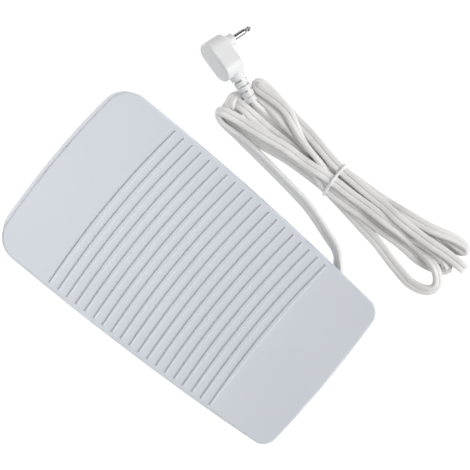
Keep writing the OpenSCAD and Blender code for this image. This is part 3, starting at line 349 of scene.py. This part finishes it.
# How runs that press into each other are moved apart: the most in x, y and z, the length within
# which the cord counts as one run, and the lengths held as laid at the ends and at the tie.
EASE_ROUNDS = 50
EASE_LIMIT = np.array([0.6, 0.6, 2.5])
EASE_REACH = 2
SAME_RUN = 16.0
HELD_START = 30.0
HELD_END = 8.0
HELD_TIE = 4.0
HELD_FADE = 12.0
TIE_Y = -31.0
LEAST_GAP = 0.001


def mean_rows(rows, reach):
    """The mean of each row and its neighbours up to reach places away."""
    padded = np.pad(rows, ((reach, reach), (0, 0)), mode="edge")
    return sum(padded[k:k + len(rows)] for k in range(2 * reach + 1)) / (2 * reach + 1)


def eased(centres, sides):
    """The route with runs that press into each other moved apart, within the limits above."""
    first = np.array(centres)
    across = np.array(sides)
    at = np.r_[0.0, np.cumsum(np.linalg.norm(np.diff(first, axis=0), axis=1))]
    other_run = np.abs(at[:, None] - at[None]) > SAME_RUN
    from_ends = np.minimum(at - HELD_START, at[-1] - HELD_END - at)
    from_tie = np.abs(first[:, 1] - TIE_Y) - HELD_TIE
    free = np.clip(np.minimum(from_ends, from_tie) / HELD_FADE, 0, 1)
    limit = EASE_LIMIT * free[:, None]
    core = (CORD_W - CORD_T) / 2
    lowest = np.minimum(CORD_T / 2 + core * np.abs(across[:, 2]), first[:, 2])
    now = first.copy()
    for _ in range(EASE_ROUNDS):
        push = np.zeros_like(now)
        hits = np.zeros(len(now))
        for a in (core, -core):
            for b in (core, -core):
                gap = (now + across * a)[:, None] - (now + across * b)[None]
                length = np.linalg.norm(gap, axis=2)
                i, j = np.nonzero(other_run & (length < CORD_T))
                scale = (CORD_T - length[i, j]) / 2 / np.maximum(length[i, j], LEAST_GAP)
                np.add.at(push, i, gap[i, j] * scale[:, None])
                np.add.at(hits, i, 1)
        push = mean_rows(push / np.maximum(hits, 1)[:, None], EASE_REACH)
        now = first + np.clip(now + push - first, -limit, limit)
        now[:, 2] = np.maximum(now[:, 2], lowest)
    now = first + np.clip(mean_rows(now - first, EASE_REACH), -limit, limit)
    now[:, 2] = np.maximum(now[:, 2], lowest)
    return [Vector(row) for row in now.tolist()]


# Sections: the cord's cores are squarer at the groove than at their outer edges.
SECTION_POINTS = 17
CORE_SWEEP = math.radians(170)
OUTER_CORNER = 0.72
GROOVE_CORNER = 0.35


def twin_section(width, thick, count):
    """The outline of two flattened cores side by side, with a narrow groove on both faces."""
    r = thick / 2
    c = width / 2 - r
    ring = []
    for turned in (1, -1):
        for k in range(count):
            a = -CORE_SWEEP + 2 * CORE_SWEEP * k / (count - 1)
            corner = OUTER_CORNER if math.cos(a) > 0 else GROOVE_CORNER
            x = math.copysign(abs(math.cos(a)) ** corner, math.cos(a))
            y = math.copysign(abs(math.sin(a)) ** corner, math.sin(a))
            ring.append((turned * (c + r * x), turned * r * y))
    return ring


def oval(half_w, half_t, count):
    """The outline of an oval with count points."""
    angles = [k * math.tau / count for k in range(count)]
    return [(half_w * math.cos(a), half_t * math.sin(a)) for a in angles]


def sweep(name, centres, sides, ring, closed_loop=False):
    """A tube along the centres, whose section is the ring with its first number along the side."""
    verts = []
    faces = []
    n = len(centres)
    m = len(ring)
    for i in range(n):
        nxt = centres[(i + 1) % n] if closed_loop else centres[min(i + 1, n - 1)]
        prv = centres[i - 1] if closed_loop else centres[max(i - 1, 0)]
        along = (nxt - prv).normalized()
        side = (sides[i] - along * sides[i].dot(along)).normalized()
        up = along.cross(side)
        for a, b in ring:
            verts.append((centres[i] + side * a + up * b) * MM)
    for i in range(n if closed_loop else n - 1):
        j = (i + 1) % n
        for k in range(m):
            k2 = (k + 1) % m
            faces.append((i * m + k, i * m + k2, j * m + k2, j * m + k))
    if not closed_loop:
        faces.append(tuple(range(m - 1, -1, -1)))
        faces.append(tuple(range((n - 1) * m, n * m)))
    mesh = bpy.data.meshes.new(name)
    mesh.from_pydata(verts, [], faces)
    mesh.polygons.foreach_set("use_smooth", [True] * len(mesh.polygons))
    mesh.update()
    piece = bpy.data.objects.new(name, mesh)
    scene.collection.objects.link(piece)
    return piece


route = smooth([Vector(q) for q in ROUTE], ROUTE_STEP)
route_sides = sides_of(route)
route_centres = eased([q.xyz for q in route], route_sides)
cord_ring = twin_section(CORD_W, CORD_T, SECTION_POINTS)
cord_piece = sweep("cord", route_centres, route_sides, cord_ring)
cord_piece.data.materials.append(SLOTS["cord_jacket"])
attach(cord_piece, "base")
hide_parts("cord_lead", "cord_hank", "cord_tail")

# The twist tie: a thin band round the hank's waist, with x and z along its loop.
TIE_LOOP = [
    (84.0, 0.7), (83.4, 2.2), (83.7, 4.4), (85.4, 6.7), (88.2, 8.4), (90.6, 10.3), (93.3, 10.8),
    (97.3, 10.65), (101.2, 10.75), (104.2, 10.4), (105.3, 8.6), (105.5, 5), (105, 0.8),
    (100, 0.35), (90, 0.35),
]
TIE_MID_X = 98
TIE_BOW = 0.007
TIE_STEP = 1.2
TIE_HALF_W = 0.95
TIE_HALF_T = 0.42
TIE_SIDES = 10
tie_points = [Vector((x, TIE_Y - TIE_BOW * (x - TIE_MID_X) ** 2, z, 0.0)) for x, z in TIE_LOOP]
tie_route = smooth(tie_points + [tie_points[0]], TIE_STEP)[:-1]
tie_piece = sweep(
    "twist_tie", [q.xyz.copy() for q in tie_route], [Vector((0.0, 1.0, 0.0))] * len(tie_route),
    oval(TIE_HALF_W, TIE_HALF_T, TIE_SIDES), closed_loop=True,
)
tie_piece.data.materials.append(SLOTS["tie_plastic"])
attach(tie_piece, "base")
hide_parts("hank_tie")

# The return springs: coils with closed ends, standing between the base and the treadle.
SPRING_TURNS = 7
SPRING_WIRE = 1.3
CLOSED_PITCH = 1.1 * SPRING_WIRE
STEPS_PER_TURN = 28
WIRE_SIDES = 12


def coil_height(turn, height):
    """The height of the wire's middle above the coil's foot after some turns."""
    if turn < 1:
        return SPRING_WIRE / 2 + turn * CLOSED_PITCH
    if turn > SPRING_TURNS - 1:
        return height - SPRING_WIRE / 2 - (SPRING_TURNS - turn) * CLOSED_PITCH
    open_height = height - SPRING_WIRE - 2 * CLOSED_PITCH
    return SPRING_WIRE / 2 + CLOSED_PITCH + (turn - 1) * open_height / (SPRING_TURNS - 2)


spring_low, spring_high = [corner / MM for corner in map(Vector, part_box("return_springs"))]
coil_d = spring_high.y - spring_low.y
coil_r = (coil_d - SPRING_WIRE) / 2
spring_x = spring_high.x - coil_d / 2
spring_y = (spring_low.y + spring_high.y) / 2
coil_centres = []
coil_sides = []
for i in range(SPRING_TURNS * STEPS_PER_TURN + 1):
    turn = i / STEPS_PER_TURN
    outward = Vector((math.cos(math.tau * turn), math.sin(math.tau * turn), 0.0))
    height = coil_height(turn, spring_high.z - spring_low.z)
    coil_centres.append(Vector((spring_x, spring_y, spring_low.z + height)) + outward * coil_r)
    coil_sides.append(outward)
wire_ring = oval(SPRING_WIRE / 2, SPRING_WIRE / 2, WIRE_SIDES)
spring_piece = sweep("spring_pair", coil_centres, coil_sides, wire_ring)
pair = bmesh.new()
pair.from_mesh(spring_piece.data)
second = bmesh.ops.duplicate(pair, geom=pair.verts[:] + pair.edges[:] + pair.faces[:])["geom"]
second_verts = [part for part in second if isinstance(part, bmesh.types.BMVert)]
bmesh.ops.translate(pair, verts=second_verts, vec=(-2 * spring_x * MM, 0.0, 0.0))
pair.to_mesh(spring_piece.data)
pair.free()
spring_piece.data.materials.append(SLOTS["spring_steel"])
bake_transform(spring_piece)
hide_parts("return_springs")

# Floor: a white table with a raised rim, far outside the part.
FLOOR_HALF = 6
FLOOR_RIM = 0.8
FLOOR_DROP = 0.0004
FLOOR_GLOW = 0.9
floor_corners = [(-1, -1), (1, -1), (1, 1), (-1, 1)]
floor_verts = [
    (x * FLOOR_HALF, y * FLOOR_HALF, z) for z in (0, FLOOR_RIM) for x, y in floor_corners
]
floor_faces = [(0, 1, 2, 3)] + [(k, k + 4, (k + 1) % 4 + 4, (k + 1) % 4) for k in range(4)]
floor_mesh = bpy.data.meshes.new("floor")
floor_mesh.from_pydata(floor_verts, [], floor_faces)
floor = bpy.data.objects.new("floor", floor_mesh)
floor.location.z = -FLOOR_DROP
scene.collection.objects.link(floor)
floor_mat = procedural(
    "floor_white", (0.25, 0.25, 0.25), (0.26, 0.26, 0.26), 0.9, drift=2.0, bump=0.0, gloss=0.0
)
floor_shader = floor_mat.node_tree.nodes["Principled BSDF"]
floor_shader.inputs["Emission Color"].default_value = (1.0, 1.0, 1.0, 1.0)
floor_shader.inputs["Emission Strength"].default_value = FLOOR_GLOW
floor_mesh.materials.append(floor_mat)
floor.visible_diffuse = False

# Light: a large soft lamp at the heel's right, a small one over the toe, and two low ones that
# fill the toe and the left side.
KEY_POWER = 2.6
KEY_SPREAD = math.radians(48.0)
KEY_AT = (0.537, -0.646, 0.545)
TOE_LAMP_POWER = 0.5
TOE_LAMP_SIZE = 0.3
FILL_POWER = 0.45
FILL_W = 0.4
FILL_H = 0.03


def aimed(name, data, place, aim):
    """Puts a lamp at a place and turns it to face the aim."""
    piece = bpy.data.objects.new(name, data)
    piece.location = place
    piece.rotation_euler = (Vector(aim) - Vector(place)).to_track_quat("-Z", "Y").to_euler()
    scene.collection.objects.link(piece)


key = bpy.data.lights.new("key", "SUN")
key.energy = KEY_POWER
key.angle = KEY_SPREAD
aimed("key", key, KEY_AT, (0.0, 0.0, 0.0))
toe_lamp = bpy.data.lights.new("toe_lamp", "AREA")
toe_lamp.shape = "SQUARE"
toe_lamp.size = TOE_LAMP_SIZE
toe_lamp.energy = TOE_LAMP_POWER
aimed("toe_lamp", toe_lamp, (-0.06, 0.1, 0.42), (-0.03, 0.09, 0.04))
for fill_name, place, aim in (
    ("toe_fill", (-0.03, 0.36, 0.016), (-0.03, 0.11, 0.02)),
    ("left_fill", (-0.34, 0.0, 0.016), (-0.07, 0.0, 0.02)),
):
    fill = bpy.data.lights.new(fill_name, "AREA")
    fill.shape = "RECTANGLE"
    fill.size = FILL_W
    fill.size_y = FILL_H
    fill.energy = FILL_POWER
    aimed(fill_name, fill, place, aim)

# Sky: bright below the horizon and dimmer above it.
HORIZON_BAND = 0.03
LOW_LIGHT = 0.85
HIGH_LIGHT = 0.25
world = bpy.data.worlds.new("studio")
world.use_nodes = True
sky = world.node_tree.nodes["Background"]
facing = world.node_tree.nodes.new("ShaderNodeTexCoord")
parts = world.node_tree.nodes.new("ShaderNodeSeparateXYZ")
above = world.node_tree.nodes.new("ShaderNodeValToRGB")
above.color_ramp.elements[0].position = 0.0
above.color_ramp.elements[0].color = (LOW_LIGHT, LOW_LIGHT, LOW_LIGHT, 1.0)
above.color_ramp.elements[1].position = HORIZON_BAND
above.color_ramp.elements[1].color = (HIGH_LIGHT, HIGH_LIGHT, HIGH_LIGHT, 1.0)
world.node_tree.links.new(facing.outputs["Generated"], parts.inputs["Vector"])
world.node_tree.links.new(parts.outputs["Z"], above.inputs["Fac"])
world.node_tree.links.new(above.outputs["Color"], sky.inputs["Color"])
sky.inputs["Strength"].default_value = 1.0
scene.world = world
